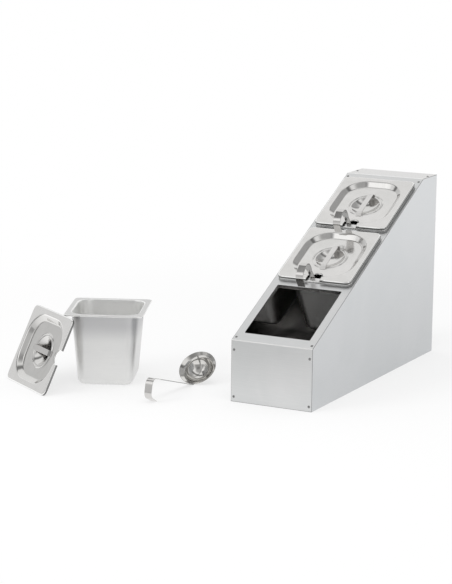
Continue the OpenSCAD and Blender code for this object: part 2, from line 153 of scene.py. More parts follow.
def roundedLoops(rows, starts, ways, small=1e-6, never=1e6):
    # Each row is (half width, half length, corner radius, height). A ray stops where it meets the straight
    # side of that rounded rectangle, or the arc of its corner where the side has ended.
    halfX, halfY, radius, height = [rows[:, k:k + 1] for k in range(4)]
    x, y = np.abs(starts[:, 0]), np.abs(starts[:, 1])
    wayX, wayY = np.abs(ways[:, 0]), np.abs(ways[:, 1])
    toSide = np.where(wayX > small, (halfX - x) / np.maximum(wayX, small), never)
    toEnd = np.where(wayY > small, (halfY - y) / np.maximum(wayY, small), never)
    kneeX, kneeY = halfX - radius, halfY - radius
    offX, offY = x - kneeX, y - kneeY
    along = offX * wayX + offY * wayY
    toArc = -along + np.sqrt(np.maximum(along ** 2 - offX ** 2 - offY ** 2 + radius ** 2, 0))
    hitSide = y + toSide * wayY <= kneeY + small
    hitEnd = x + toEnd * wayX <= kneeX + small
    reach = np.where(hitSide, toSide, np.where(hitEnd, toEnd, toArc))
    loopX = starts[:, 0] + reach * ways[:, 0]
    loopY = starts[:, 1] + reach * ways[:, 1]
    return np.stack([loopX, loopY, height + 0 * reach], -1)


# Pieces

def addPiece(name, mesh, sharp, body, node, sheet=0, even=True):
    # The mesh as a smooth object whose edges beyond the sharp angle stay crisp. A sheet gets its wall on the
    # inner side. Even shading lets a large flat face keep its own normal beside a small bend.
    mesh.shade_smooth()
    mesh.set_sharp_from_angle(angle=math.radians(sharp))
    piece = bpy.data.objects.new(name, mesh)
    bpy.context.scene.collection.objects.link(piece)
    if sheet:
        wall = piece.modifiers.new("wall", "SOLIDIFY")
        wall.thickness = sheet * metre
        wall.offset = -1
        wall.use_even_offset = True
    if even:
        shading = piece.modifiers.new("shading", "WEIGHTED_NORMAL")
        shading.mode = "FACE_AREA"
        shading.weight = 50
        shading.keep_sharp = True
    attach(piece, body)
    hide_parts(node)


def makePiece(name, shape, place, materials, body, node, sharp=32, sheet=0, even=True):
    # shape is (points, faces) or (points, faces, zones). The points are in the piece's own frame, which the
    # place carries into the caddy's, and zones holds the number of its material for each face.
    points, faces, *zones = shape
    mesh = bpy.data.meshes.new(name)
    mesh.from_pydata((carried(points, place) * metre).tolist(), [], [list(face) for face in faces])
    for material in materials:
        mesh.materials.append(material)
    if zones:
        mesh.polygons.foreach_set("material_index", np.asarray(zones[0], np.int32))
    work = bmesh.new()
    work.from_mesh(mesh)
    bmesh.ops.remove_doubles(work, verts=work.verts, dist=merging["points"] * metre)
    bmesh.ops.dissolve_degenerate(work, edges=work.edges, dist=merging["slivers"] * metre)
    if sheet == 0:
        bmesh.ops.recalc_face_normals(work, faces=work.faces)
    work.to_mesh(mesh)
    work.free()
    mesh.validate()
    addPiece(name, mesh, sharp, body, node, sheet, even)


# Brushed and drawn steel

def feed(tree, node, feeds):
    # Each input gets a value or a link. A link comes from an output, or from the first output a node shows.
    for key, value in feeds.items():
        if isinstance(value, bpy.types.Node):
            value = next(output for output in value.outputs if output.enabled)
        if isinstance(value, bpy.types.NodeSocket):
            tree.links.new(value, node.inputs[key])
        else:
            node.inputs[key].default_value = value


def addNode(tree, kind, feeds=None, **settings):
    node = tree.nodes.new("ShaderNode" + kind)
    for name, value in settings.items():
        setattr(node, name, value)
    feed(tree, node, feeds or {})
    return node


def eased(tree, value, start, end, low, high):
    # A smooth change from low to high while the value goes from start to end
    feeds = {"Value": value, "From Min": start, "From Max": end, "To Min": low, "To Max": high}
    return addNode(tree, "MapRange", feeds, interpolation_type="SMOOTHSTEP")


def newGroup(name, inputs, output):
    # A node group with inputs of {name: kind} and one float output, and the sockets its inputs arrive at
    group = bpy.data.node_groups.new(name, "ShaderNodeTree")
    for title, kind in inputs.items():
        group.interface.new_socket(name=title, in_out="INPUT", socket_type="NodeSocket" + kind)
    group.interface.new_socket(name=output, in_out="OUTPUT", socket_type="NodeSocketFloat")
    return group, group.nodes.new("NodeGroupInput").outputs


def brushedLines():
    # Noise stretched along one axis: value = 0.5 + contrast * (noise(position * stretch) - 0.5), kept
    # within 0 and 1
    inputs = {"Vector": "Vector", "Stretch": "Vector", "Contrast": "Float"}
    group, enter = newGroup("brushedLines", inputs, "Lines")
    scale = addNode(group, "VectorMath", {0: enter["Vector"], 1: enter["Stretch"]}, operation="MULTIPLY")
    noise = addNode(group, "TexNoise", {"Vector": scale, "Scale": 1, "Detail": 5, "Roughness": 0.62})
    middle = addNode(group, "Math", {0: noise, 1: 0.5}, operation="SUBTRACT")
    gain = addNode(group, "Math", {0: middle, 1: enter["Contrast"]}, operation="MULTIPLY")
    back = addNode(group, "Math", {0: gain, 1: 0.5}, operation="ADD", use_clamp=True)
    feed(group, group.nodes.new("NodeGroupOutput"), {"Lines": back})
    return group


def handledCloud():
    # Slow uneven wiping marks: value = noise(position * size), smoothed between two levels
    group, enter = newGroup("handledCloud", {"Vector": "Vector", "Size": "Float"}, "Cloud")
    feeds = {"Vector": enter["Vector"], "Scale": enter["Size"], "Detail": 3, "Distortion": 0.6}
    level = eased(group, addNode(group, "TexNoise", feeds), 0.35, 0.7, 0, 1)
    feed(group, group.nodes.new("NodeGroupOutput"), {"Cloud": level})
    return group


linesGroup = brushedLines()
cloudGroup = handledCloud()


def steel(name, dark, light, rough, stretch, bump, cloudSize=12, contrast=1.6, wave=(9, 1), folds=()):
    # Colour = mix(dark, light, mix(lines, cloud)), and roughness rises from rough[0] to rough[1] with the
    # same two. The lines are also a relief of height bump, over the slow waves of pressed sheet, which are
    # (noise scale, height). Folds are (mask, point, reach, colour): near the line or plane where the masked
    # position is the point, the tone turns to the fold's colour, half of the way at its reach.
    material = bpy.data.materials.new(name)
    material.use_nodes = True
    tree = material.node_tree
    here = addNode(tree, "TexCoord").outputs
    lines = addNode(tree, "Group", node_tree=linesGroup)
    feed(tree, lines, {"Vector": here["Object"], "Stretch": stretch, "Contrast": contrast})
    cloud = addNode(tree, "Group", {"Vector": here["Object"], "Size": cloudSize}, node_tree=cloudGroup)
    both = addNode(tree, "Mix", {"Factor": 0.4, "A": lines, "B": cloud}, data_type="FLOAT")
    colour = addNode(tree, "ValToRGB", {"Fac": both})
    for stop, position, tone in zip(colour.color_ramp.elements, (0.15, 0.85), (dark, light)):
        stop.position = position
        stop.color = (*tone, 1)
    # Each fold mixes its colour into the tone: painted highlights, painted shade, or dark joint lines.
    for mask, point, reach, foldColour in folds:
        flat = addNode(tree, "VectorMath", {0: here["Object"], 1: mask}, operation="MULTIPLY")
        middle = [coordinate * metre for coordinate in point]
        away = addNode(tree, "VectorMath", {0: flat, 1: middle}, operation="DISTANCE")
        near = eased(tree, away, 0.5 * reach * metre, 1.5 * reach * metre, 1, 0)
        colour = addNode(tree, "Mix", {"Factor": near, "A": colour, "B": foldColour}, data_type="RGBA")
    level = addNode(tree, "MapRange", {"Value": both, "To Min": rough[0], "To Max": rough[1]})
    relief = addNode(tree, "Bump", {"Strength": 1, "Distance": bump * metre, "Height": lines})
    slow = addNode(tree, "TexNoise", {"Vector": here["Object"], "Scale": wave[0], "Detail": 1})
    bow = addNode(tree, "Bump", {"Strength": 1, "Distance": wave[1] * metre, "Height": slow})
    feed(tree, bow, {"Normal": relief})
    looks = {"Metallic": 1, "Base Color": colour, "Roughness": level, "Normal": bow}
    feed(tree, tree.nodes["Principled BSDF"], looks)
    return material


# Housing

caddy = {"width": 176, "depth": 616, "frontHeight": 125, "backHeight": 389, "topDepth": 76, "sheet": 1.2,
         "firstOpening": 25, "openingLength": 163, "bayPitch": 193, "panShift": 5, "sharp": 28}
halfWidth, halfDepth = caddy["width"] / 2, caddy["depth"] / 2
slopeRun, slopeRise = caddy["depth"] - caddy["topDepth"], caddy["backHeight"] - caddy["frontHeight"]
slopeLength = math.hypot(slopeRun, slopeRise)
slopeAngle = math.degrees(math.atan2(slopeRise, slopeRun))

# Painted highlights: bright lines along the front's top fold and the slope's top fold. The dark lines lie at
# the side joints and along the front's foot.
paintedFoldHighlight, joint = (0.93, 0.93, 0.92, 1), (0.22, 0.22, 0.22, 1)
skinFoldHighlightsAndJoints = [((0, 1, 1), (0, -halfDepth, caddy["frontHeight"]), 1.4, paintedFoldHighlight),
             ((0, 1, 1), (0, halfDepth - caddy["topDepth"], caddy["backHeight"]), 1.4, paintedFoldHighlight),
             ((1, 0, 0), (halfWidth, 0, 0), 0.5, joint), ((1, 0, 0), (-halfWidth, 0, 0), 0.5, joint),
             ((0, 1, 1), (0, -halfDepth, 0), 0.8, joint)]
housingFinish = {
    "front": steel("satinFrontSheet", dark=(0.60, 0.61, 0.61), light=(0.70, 0.70, 0.70), rough=(0.30, 0.42),
                   stretch=(25, 25, 1800), bump=0.004, cloudSize=7, folds=skinFoldHighlightsAndJoints),
    "side": steel("satinSideSheet", dark=(0.575, 0.59, 0.60), light=(0.635, 0.645, 0.655),
                  rough=(0.36, 0.46), stretch=(25, 25, 1500), bump=0.003, cloudSize=5),
    "hidden": steel("satinHiddenSheet", dark=(0.54, 0.55, 0.56), light=(0.61, 0.62, 0.63),
                    rough=(0.34, 0.48), stretch=(1500, 25, 25), bump=0.004),
    "base": steel("satinBaseSheet", dark=(0.38, 0.38, 0.38), light=(0.46, 0.46, 0.46), rough=(0.14, 0.24),
                  stretch=(25, 1500, 25), bump=0.002),
    # Painted light: a much lighter copy of the sheet steel for the faces inside the housing and the flat
    # top.
    "inside": steel("paintedLightInsideSheet", dark=(0.87, 0.86, 0.85), light=(0.93, 0.92, 0.91),
                    rough=(0.07, 0.13), stretch=(25, 25, 1500), bump=0.001, cloudSize=9),
    "rivet": steel("satinRivet", dark=(0.20, 0.20, 0.20), light=(0.36, 0.36, 0.355), rough=(0.22, 0.36),
                   stretch=(600, 600, 600), bump=0.01),
}


def onSlope(up):  # y runs up the slope from its front edge and z stands square to it
    return shiftBy(0, -halfDepth, caddy["frontHeight"]) @ turnAbout("X", slopeAngle) @ shiftBy(0, up, 0)


def inBay(bay):  # z = 0 is the slope's upper face, at the middle of the pan that hangs in this opening
    middle = caddy["firstOpening"] + caddy["openingLength"] / 2 + bay * caddy["bayPitch"] - caddy["panShift"]
    return onSlope(middle)


def isInside(x, y, z):
    # True for a point more than half a sheet below the slope's plane and in from the sides, the ends and the
    # ground. The plane passes above the flat top, so the flat top counts too.
    skin = metre * caddy["sheet"] / 2
    fall = math.radians(slopeAngle)
    rise = (z - caddy["frontHeight"] * metre) * math.cos(fall) - (y + halfDepth * metre) * math.sin(fall)
    betweenSides = abs(x) < halfWidth * metre - skin
    betweenEnds = abs(y) < halfDepth * metre - skin
    return betweenSides and betweenEnds and z > skin and rise < -skin


def sheetCopy(name, node, outer, inner):
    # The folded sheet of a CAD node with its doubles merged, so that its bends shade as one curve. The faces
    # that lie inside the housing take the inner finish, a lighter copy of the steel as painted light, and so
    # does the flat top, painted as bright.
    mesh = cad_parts[node].data.copy()
    mesh.name = name
    mesh.materials.clear()
    work = bmesh.new()
    work.from_mesh(mesh)
    bmesh.ops.remove_doubles(work, verts=work.verts, dist=merging["cadPoints"] * metre)
    work.to_mesh(mesh)
    work.free()
    if "custom_normal" in mesh.attributes:
        mesh.attributes.remove(mesh.attributes["custom_normal"])
    mesh.materials.append(housingFinish[outer])
    mesh.materials.append(housingFinish[inner])
    for face in mesh.polygons:
        face.material_index = int(isInside(*face.center))
    addPiece(name, mesh, caddy["sharp"], "housing", node)


sheetCopy("topSkinSheet", "top_skin", "front", "inside")
sheetCopy("leftSideSheet", "left_side", "side", "inside")
sheetCopy("rightSideSheet", "right_side", "side", "inside")
sheetCopy("backSheet", "back_panel", "hidden", "inside")
sheetCopy("bottomTray", "base_plate", "base", "base")


# Rivets: the gaps are their distances from the sheets' ends and folds, and the stub's outline, which is the
# broken end of the mandrel, is (radius, height)

rivet = {"head": 5.6, "rise": 1.3, "inset": 6, "sink": 0.4, "chamfer": 0.1, "cupRadius": 1.125,
         "stub": [(0.75, 0.806), (0.7125, 0.715), (0.6, 1.04), (0, 1.092)],
         "lowGap": 10, "foldGap": 20, "ridgeGap": 13}


def rivetHead():
    # A shallow dome round the mandrel's broken stub: a sphere cap with a small cup in its middle
    radius, rise, sink, chamfer = rivet["head"] / 2, rivet["rise"], rivet["sink"], rivet["chamfer"]
    sphere = (radius ** 2 + rise ** 2) / (2 * rise)
    out = np.linspace(radius, rivet["cupRadius"], num=10)
    dome = np.stack([out, rise - sphere + np.sqrt(sphere ** 2 - out ** 2)], 1)
    return np.concatenate([[(0, -sink), (radius - chamfer, -sink), (radius, -chamfer)], dome, rivet["stub"]])


def rivetRow(name, node, places):
    # The heads of a row as one piece, with a copy of the same head at each place
    grid, faces = revolve(rivetHead(), columns=28)
    points = np.concatenate([carried(grid, place) for place in places])
    joined = np.concatenate([faces + k * grid.shape[0] * grid.shape[1] for k in range(len(places))])
    makePiece(name, (points, joined), np.eye(4), [housingFinish["rivet"]], "housing", node)


bothSides = (rivet["inset"] - halfWidth, halfWidth - rivet["inset"])
rivetRow("frontRivetHeads", "front_rivets", [
    shiftBy(x, -halfDepth, z) @ turnAbout("X", 90)
    for x in bothSides for z in (rivet["lowGap"], caddy["frontHeight"] - rivet["foldGap"])])
rivetRow("slopeRivetHeads", "slope_rivets", [
    onSlope(up) @ shiftBy(x, 0, 0)
    for x in bothSides for up in (rivet["lowGap"], slopeLength - rivet["ridgeGap"])])
rivetRow("topRivetHeads", "top_rivets", [
    shiftBy(x, halfDepth - caddy["topDepth"] / 2, caddy["backHeight"]) for x in bothSides])
backHeights = (rivet["foldGap"], caddy["backHeight"] / 2, caddy["backHeight"] - rivet["foldGap"])
rivetRow("backRivetHeads", "back_rivets", [
    shiftBy(x, halfDepth, z) @ turnAbout("X", -90) for x in bothSides for z in backHeights])
print("housing ready")


# Pans: z = 0 is the face of the sheet that they hang on, and flatInset is where the flange's flat begins

pan = {"width": 162, "length": 176, "depth": 150, "flange": 12, "edge": 3, "taper": 5, "sheet": 0.8,
       "corner": 30, "rimCorner": 11, "bottomRadius": 13, "mouthBend": 2, "seatGap": 0.3, "edgeBend": 1.5,
       "flatInset": 3, "lipRound": 0.15, "looseX": -393.3, "looseY": -266, "looseTurn": 23.3}
panTop = pan["seatGap"] + pan["edge"]
panFloor = panTop - pan["depth"] + pan["sheet"]

# Painted shade: the loose pan's outside turns darker below its flange, towards the rim.
paintedShadeUnderFlange = [((0, 0, 1), (0, 0, pan["depth"]), 42, (0.54, 0.54, 0.545, 1))]  # darker towards the rim
panFinish = {
    "outside": steel("drawnPan", dark=(0.69, 0.69, 0.685), light=(0.735, 0.735, 0.725), rough=(0.32, 0.42),
                     stretch=(30, 30, 300), bump=0.0006, cloudSize=16, contrast=1.2, wave=(7, 1.5)),
    "looseOutside": steel("drawnFreePanWithPaintedShade", dark=(0.70, 0.70, 0.695), light=(0.745, 0.745, 0.735),
                          rough=(0.32, 0.42), stretch=(30, 30, 300), bump=0.0006, cloudSize=16, contrast=1.2,
                          wave=(7, 1.5), folds=paintedShadeUnderFlange),
    # Painted light: the pan's inside is a much lighter copy of its steel, standing in for the light that
    # fills it.
    "inside": steel("paintedLightPanInside", dark=(0.95, 0.95, 0.94), light=(0.99, 0.99, 0.98), rough=(0.26, 0.38),
                    stretch=(60, 60, 60), bump=0.002, cloudSize=16, wave=(10, 1.5)),
    # Painted highlight: the flange's turned edge is a lighter, glossier copy of the steel.
    "rim": steel("paintedHighlightPanRim", dark=(0.90, 0.90, 0.89), light=(0.96, 0.96, 0.95), rough=(0.16, 0.26),
                 stretch=(300, 300, 300), bump=0.001),
}


def panShape():
    # A closed section of the drawn sheet, from the middle of the floor's underside out to the flange and
    # back to the middle of the floor, carried round the pan. Every row is a rounded rectangle. The zones are
    # 0 for the outside, 1 for the inside, 2 for the flange's turned edge and 3 for its top.
    sheet, taper, bend, bottom = pan["sheet"], pan["taper"], pan["mouthBend"], pan["bottomRadius"]
    halfX, halfY = pan["width"] / 2, pan["length"] / 2
    centreX = halfX - pan["flange"] - pan["corner"]
    centreY = halfY - pan["flange"] - pan["corner"]
    mouth = np.array([pan["corner"] + bend, panTop - sheet - bend])
    wallNormal = np.array([-math.cos(math.radians(taper)), math.sin(math.radians(taper))])
    wallPoint = mouth + (bend + sheet) * wallNormal
    floorHeight = panFloor + bottom
    floorX = (wallPoint @ wallNormal + bottom - floorHeight * wallNormal[1]) / wallNormal[0]
    floorCentre = (floorX, floorHeight)

    def wallRows(points):  # offsets from the corner centres, with that offset as the corner radius
        return np.stack([centreX + points[:, 0], centreY + points[:, 0], points[:, 0], points[:, 1]], 1)

    def rimRows(points):  # distances in from the flange's edge
        inset = points[:, 0]
        return np.stack([halfX - inset, halfY - inset, pan["rimCorner"] - inset, points[:, 1]], 1)

    edgeBend, flat, lip = pan["edgeBend"], pan["flatInset"], pan["lipRound"]
    edgeCentre, low = (edgeBend, panTop - edgeBend), panTop - pan["edge"]
    wallOutside = np.linspace(floorCentre - (bottom + sheet) * wallNormal, mouth + bend * wallNormal, num=8)
    wallInside = np.linspace(wallPoint, floorCentre - bottom * wallNormal, num=8)
    outside = [wallRows(arcPoints(floorCentre, bottom + sheet, -90, -taper, count=14)),
               wallRows(wallOutside[1:-1]),
               wallRows(arcPoints(mouth, bend, 180 - taper, 90, count=8)),
               rimRows(np.array([[flat, panTop - sheet]])),
               rimRows(arcPoints(edgeCentre, edgeBend - sheet, 90, 180, count=6)),
               rimRows(np.array([[sheet, low + lip], [sheet - lip, low], [lip, low], [0, low + lip]]))]
    inside = [rimRows(arcPoints(edgeCentre, edgeBend, 180, 90, count=8)),
              rimRows(np.array([[flat, panTop]])),
              wallRows(arcPoints(mouth, bend + sheet, 90, 180 - taper, count=10)),
              wallRows(wallInside[1:-1]),
              wallRows(arcPoints(floorCentre, bottom, -taper, -90, count=14))]
    frontX = np.linspace(-centreX, centreX, num=9)
    starts, ways = cornerRays(centreX, centreY, frontX, cornerSteps=15, sideSteps=9)
    loops = roundedLoops(np.concatenate(outside + inside), starts, ways)
    shares = np.linspace(0, 1, num=5)[:, None, None]
    spread = np.concatenate([shares, shares, np.ones_like(shares)], 2)
    under = loops[:1] * spread
    over = loops[-1:] * spread[::-1]
    grid = np.concatenate([under[:-1], loops, over[1:]])
    faces = gridFaces(grid.shape[0], grid.shape[1])
    row = faces[:, 0] // grid.shape[1]
    rimStart = len(under) - 2 + sum(len(part) for part in outside)
    rimEnd = rimStart + len(inside[0])
    mouthStart = rimEnd + 1 + len(inside[1])
    zones = np.select([row >= mouthStart, row >= rimEnd, row >= rimStart], [1, 3, 2], 0)
    return grid, faces, zones


panForm = panShape()
panPlaces = {
    "middle": inBay(1),
    "rear": inBay(2),
    "loose": shiftBy(pan["looseX"], pan["looseY"], pan["depth"] - panTop) @ turnAbout("Z", pan["looseTurn"]),
}
for which, place in panPlaces.items():
    # The loose pan's outside carries the painted shade under its flange.
    outer = panFinish["looseOutside" if which == "loose" else "outside"]
    panZones = [outer, panFinish["inside"], panFinish["rim"], panFinish["outside"]]
    makePiece(which + "PanShell", panForm, place, panZones, which + "_pan_body", which + "_pan")
print("pans ready")


# Lids: the edge is the height of the turned edge, and cupStart is the share of the dish's angle that its own
# arc begins at, past the soft lip

lid = {"edge": 4.2, "sheet": 0.8, "edgeBend": 1.7, "border": 12.5, "borderFlat": 3.2, "stepWidth": 10,
       "stepDepth": 9, "stepBend": 6.5, "stepSpread": 0.2, "stepFoot": 4, "stepCorner": 50,
       "cornerGrowth": 0.7, "cupDiameter": 62, "cupDepth": 12, "cupLip": 2.2, "cupBend": 3.2,
       "cupStart": 0.93, "beadDiameter": 75, "beadWidth": 3.6, "beadFoot": 0.4, "beadHeight": 1,
       "notchWidth": 30.2, "notchDepth": 30, "skirtRows": 4, "rimRows": 10, "sharp": 50,
       "looseLean": 24.8, "looseTurn": 57.8, "looseSlip": 35.7}
lidBottom = panTop + pan["seatGap"]
lidTop = lidBottom + lid["edge"]
stepFloor = lidTop - lid["stepDepth"]

lidFinish = {
    "top": steel("satinLid", dark=(0.64, 0.635, 0.62), light=(0.71, 0.70, 0.69), rough=(0.08, 0.16),
                 stretch=(60, 60, 60), bump=0.002, cloudSize=14, wave=(9, 2.4)),
    # Painted light: the loose lid's border is a much lighter copy of the lid's steel.
    "loosePaintedLightBorder": steel("paintedLightLidBorder", dark=(0.84, 0.835, 0.82), light=(0.91, 0.90, 0.89),
                         rough=(0.10, 0.18), stretch=(60, 60, 60), bump=0.002, cloudSize=14, wave=(9, 2.4)),
    # Painted shade and dark reflection: the turned edge's upright face is a near-black copy of the steel.
    "skirt": steel("paintedShadeLidSkirt", dark=(0.16, 0.16, 0.16), light=(0.26, 0.26, 0.255), rough=(0.16, 0.28),
                   stretch=(400, 400, 400), bump=0.002),
    # Painted highlight: the bend above the turned edge is a near-white copy of the steel.
    "rim": steel("paintedHighlightLidRim", dark=(0.88, 0.88, 0.87), light=(0.95, 0.95, 0.94), rough=(0.08, 0.16),
                 stretch=(400, 400, 400), bump=0.002),
    "grip": steel("polishedGrip", dark=(0.62, 0.61, 0.60), light=(0.70, 0.69, 0.68), rough=(0.10, 0.18),
                  stretch=(900, 60, 60), bump=0.003),
}


def looseLidPlace():
    # The lid stands on its edge and leans on the front left corner of the free pan
    turn = math.radians(pan["looseTurn"])
    face = math.radians(lid["looseTurn"])
    lean = math.radians(lid["looseLean"])
    x = pan["rimCorner"] - pan["width"] / 2
    y = pan["rimCorner"] - pan["length"] / 2
    cornerX = pan["looseX"] + x * math.cos(turn) - y * math.sin(turn)
    cornerY = pan["looseY"] + x * math.sin(turn) + y * math.cos(turn)
    rise = min(pan["depth"], pan["width"] * math.cos(lean))
    reach = pan["rimCorner"] + pan["seatGap"] + rise * math.tan(lean)
    footX = cornerX - reach * math.cos(face) - lid["looseSlip"] * math.sin(face)
    footY = cornerY - reach * math.sin(face) + lid["looseSlip"] * math.cos(face)
    stand = turnAbout("Z", lid["looseTurn"]) @ turnAbout("Y", lid["looseLean"] - 90)
    return shiftBy(footX, footY, 0) @ stand @ shiftBy(pan["width"] / 2, 0, -lidBottom)


def lidProfile():
    # The top of the sheet as distance in from the edge, height and corner radius, from the foot of the
    # turned edge to the foot of the step, with round bends. The radius goes over from the edge's to the
    # step's by the share of the border that is passed, to the power of cornerGrowth.
    bend, border, spread = lid["edgeBend"], lid["border"], lid["stepSpread"]
    flatStart, stepEnd = bend + 1, border + lid["stepWidth"]
    fall = bentPath([[flatStart, lidTop], [border - spread, lidTop], [stepEnd + spread, stepFloor],
                     [stepEnd + lid["stepFoot"], stepFloor]], lid["stepBend"], steps=12)
    skirt = [[0, lidBottom], [0, lidBottom + 1]]
    edge = arcPoints((bend, lidTop - bend), bend, 180, 90, count=9)
    flat = np.linspace((flatStart, lidTop), (border - lid["borderFlat"], lidTop), num=9)
    line = np.concatenate([skirt, edge, flat, fall[1:]])
    share = np.clip((line[:, 0] - bend) / (border - bend), 0, 1)
    atEdge = pan["rimCorner"] - np.minimum(line[:, 0], bend)
    atStep = lid["stepCorner"] + border - line[:, 0]
    return line[:, 0], line[:, 1], atEdge + (atStep - atEdge) * share ** lid["cornerGrowth"]


def cupCircles():
    # Rows of (radius, height) inwards: the bead as one cosine wave, the cup's soft lip and its sphere
    cup = lid["cupDiameter"] / 2
    dish = (cup ** 2 + lid["cupDepth"] ** 2) / (2 * lid["cupDepth"])
    steep = math.asin(cup / dish)
    beadMiddle = (lid["beadDiameter"] - lid["beadWidth"]) / 2
    wave = np.linspace(-1, 1, num=13)
    bead = np.stack([beadMiddle - wave * (lid["beadWidth"] / 2 + lid["beadFoot"]),
                     stepFloor + lid["beadHeight"] * (0.5 + 0.5 * np.cos(np.pi * wave))], 1)
    lip = bentPath([[cup + lid["cupLip"], stepFloor], [cup, stepFloor],
                    [cup - lid["cupLip"] * math.cos(steep), stepFloor - lid["cupLip"] * math.sin(steep)]],
                   lid["cupBend"], steps=6)
    angle = np.linspace(steep * lid["cupStart"], 0, num=16)
    bowl = np.stack([dish * np.sin(angle), stepFloor - lid["cupDepth"] + dish * (1 - np.cos(angle))], 1)
    return np.concatenate([bead, lip[1:-1], bowl])


def notInNotch(grid, faces, slotColumns, noArea=1e-5, upright=0.01):
    # The notch takes away the faces that its outline has squeezed to nothing, and those which stand upright
    # along its two straight sides
    corners = grid.reshape(-1, 3)[faces]
    one = np.cross(corners[:, 1] - corners[:, 0], corners[:, 2] - corners[:, 0])
    two = np.cross(corners[:, 2] - corners[:, 0], corners[:, 3] - corners[:, 0])
    area = np.linalg.norm(one, axis=1) + np.linalg.norm(two, axis=1)
    aside = np.abs(corners[:, :, 0])
    onSide = np.isin(faces[:, 0] % grid.shape[1], slotColumns) & (aside.max(1) - aside.min(1) < upright)
    return (area > noArea) & ~onSide


def lidShape():
    # Rows go inwards from the edge: rounded rectangles down to the foot of the step, then circles over the
    # bead and down the finger cup. Columns in the notch start at its outline, a slot with a round end. The
    # zones are 1 for the skirt, 2 for the bend above it, 3 for the border and 0 for the rest.
    inset, height, radius = lidProfile()
    halfX, halfY = pan["width"] / 2, pan["length"] / 2
    centreX = halfX - lid["border"] - lid["stepCorner"]
    centreY = halfY - lid["border"] - lid["stepCorner"]
    notch = lid["notchWidth"] / 2
    beside = 6  # columns on each side of the notch
    arcX = notch * np.sin(np.radians(np.linspace(-90, 90, num=29)))
    left, right = np.linspace(-centreX, -notch, beside), np.linspace(notch, centreX, beside)
    frontX = np.concatenate([left, arcX, right])
    starts, ways = cornerRays(centreX, centreY, frontX, cornerSteps=22, sideSteps=17)
    outer = roundedLoops(np.stack([halfX - inset, halfY - inset, radius, height], 1), starts, ways)
    cut = slice(beside, beside + len(arcX))
    begin = lid["notchDepth"] - notch + np.sqrt(np.maximum(notch ** 2 - arcX ** 2, 0))
    reach = np.maximum(inset[:, None], begin)
    outer[:, cut, 1] = reach - halfY
    outer[:, cut, 2] = np.interp(reach, inset[2:], height[2:])
    circles = cupCircles()
    angle = np.arctan2(outer[-1, :, 1], outer[-1, :, 0])
    ring = [circles[:, :1] * np.cos(angle), circles[:, :1] * np.sin(angle), circles[:, 1:] + 0 * angle]
    inner = np.stack(ring, -1)
    shares = np.array([0.3, 0.65])[:, None, None]  # rows between the step's foot and the bead
    grid = np.concatenate([outer, outer[-1] * (1 - shares) + inner[0] * shares, inner])
    columns = grid.shape[1]
    faces = gridFaces(grid.shape[0], columns)
    kept = notInNotch(grid, faces, (beside - 1, beside - 1 + len(arcX)))
    row = faces[:, 0] // columns
    border = row < np.sum(inset < lid["border"])
    zones = np.select([row < lid["skirtRows"], row < lid["rimRows"], border], [1, 2, 3], 0)
    return grid, faces[kept][:, ::-1], zones[kept]


lidForm = lidShape()
lidPlaces = {"middle": inBay(1), "rear": inBay(2), "loose": looseLidPlace()}
for which, place in lidPlaces.items():
    # Only the loose lid's border takes the painted light.
    border = lidFinish["loosePaintedLightBorder" if which == "loose" else "top"]
    lidZones = [lidFinish["top"], lidFinish["skirt"], lidFinish["rim"], border]
    makePiece(which + "LidShell", lidForm, place, lidZones, which + "_lid_body", which + "_lid",
              sharp=lid["sharp"], sheet=lid["sheet"], even=False)


# Grips: foot and shoulder are the distances in from the strip's end of its two bends

grip = {"length": 82, "width": 12, "rise": 7, "sheet": 1.5, "foot": 3, "shoulder": 8, "bend": 1.4, "step": 4}


def gripShape():
    # A strip over the cup: flat feet outside the bead and a long level top, with its corners rounded
    half, end = grip["sheet"] / 2, grip["length"] / 2
    low, high = stepFloor + half, stepFloor + grip["rise"] - half
    corners = [(end, low), (end - grip["foot"], low), (end - grip["shoulder"], high)]
    path = bentPath([(-y, z) for y, z in corners] + corners[::-1], grip["bend"], steps=6)
    path = refine(path, grip["step"])
    return stripAlong(path, np.full(len(path), grip["width"]), grip["sheet"])


gripForm = gripShape()
for which, place in lidPlaces.items():
    makePiece(which + "GripStrip", gripForm, place, [lidFinish["grip"]], which + "_lid_body",
              which + "_grip")
print("lids ready")


# Ladles: the origin is the point of the bowl's rim that the stem is fixed to, and y = 0 is the stem's face
# on the bowl's side. The creases are (degrees of the sphere, share of the flare) left out where the two
# meet, on the outside and the inside. The stem keeps its clearance from the rim up to clearEnd.

ladle = {"bowlDiameter": 80, "bowlDepth": 28, "flareWidth": 8.5, "flareDepth": 6, "bowlSheet": 1,
         "tilt": 28.8, "outerCrease": (1, 0.05), "innerCrease": (2.5, 0.1), "lipShare": 0.06,
         "length": 177, "stemWidth": 11, "taperStart": 138, "taperEnd": 158, "sheet": 1.5, "step": 3,
         "footShare": 0.85, "footHeight": -1.2, "footBend": 1.5, "clearance": 0.02, "clearEnd": 20,
         "straightStart": 30, "hookWidth": 16, "hookSpan": 40, "hookDrop": 2, "hookLeg": 27, "legFlare": 11,
         "hookBend": 13, "lean": 18.1, "offset": -6.5, "stemGap": 0.4, "looseX": -220.5, "looseY": -229.8}
cupRadius = ladle["bowlDiameter"] / 2 - ladle["flareWidth"]
cupHeight = ladle["bowlDepth"] - ladle["flareDepth"]
cupSphere = (cupRadius ** 2 + cupHeight ** 2) / (2 * cupHeight)

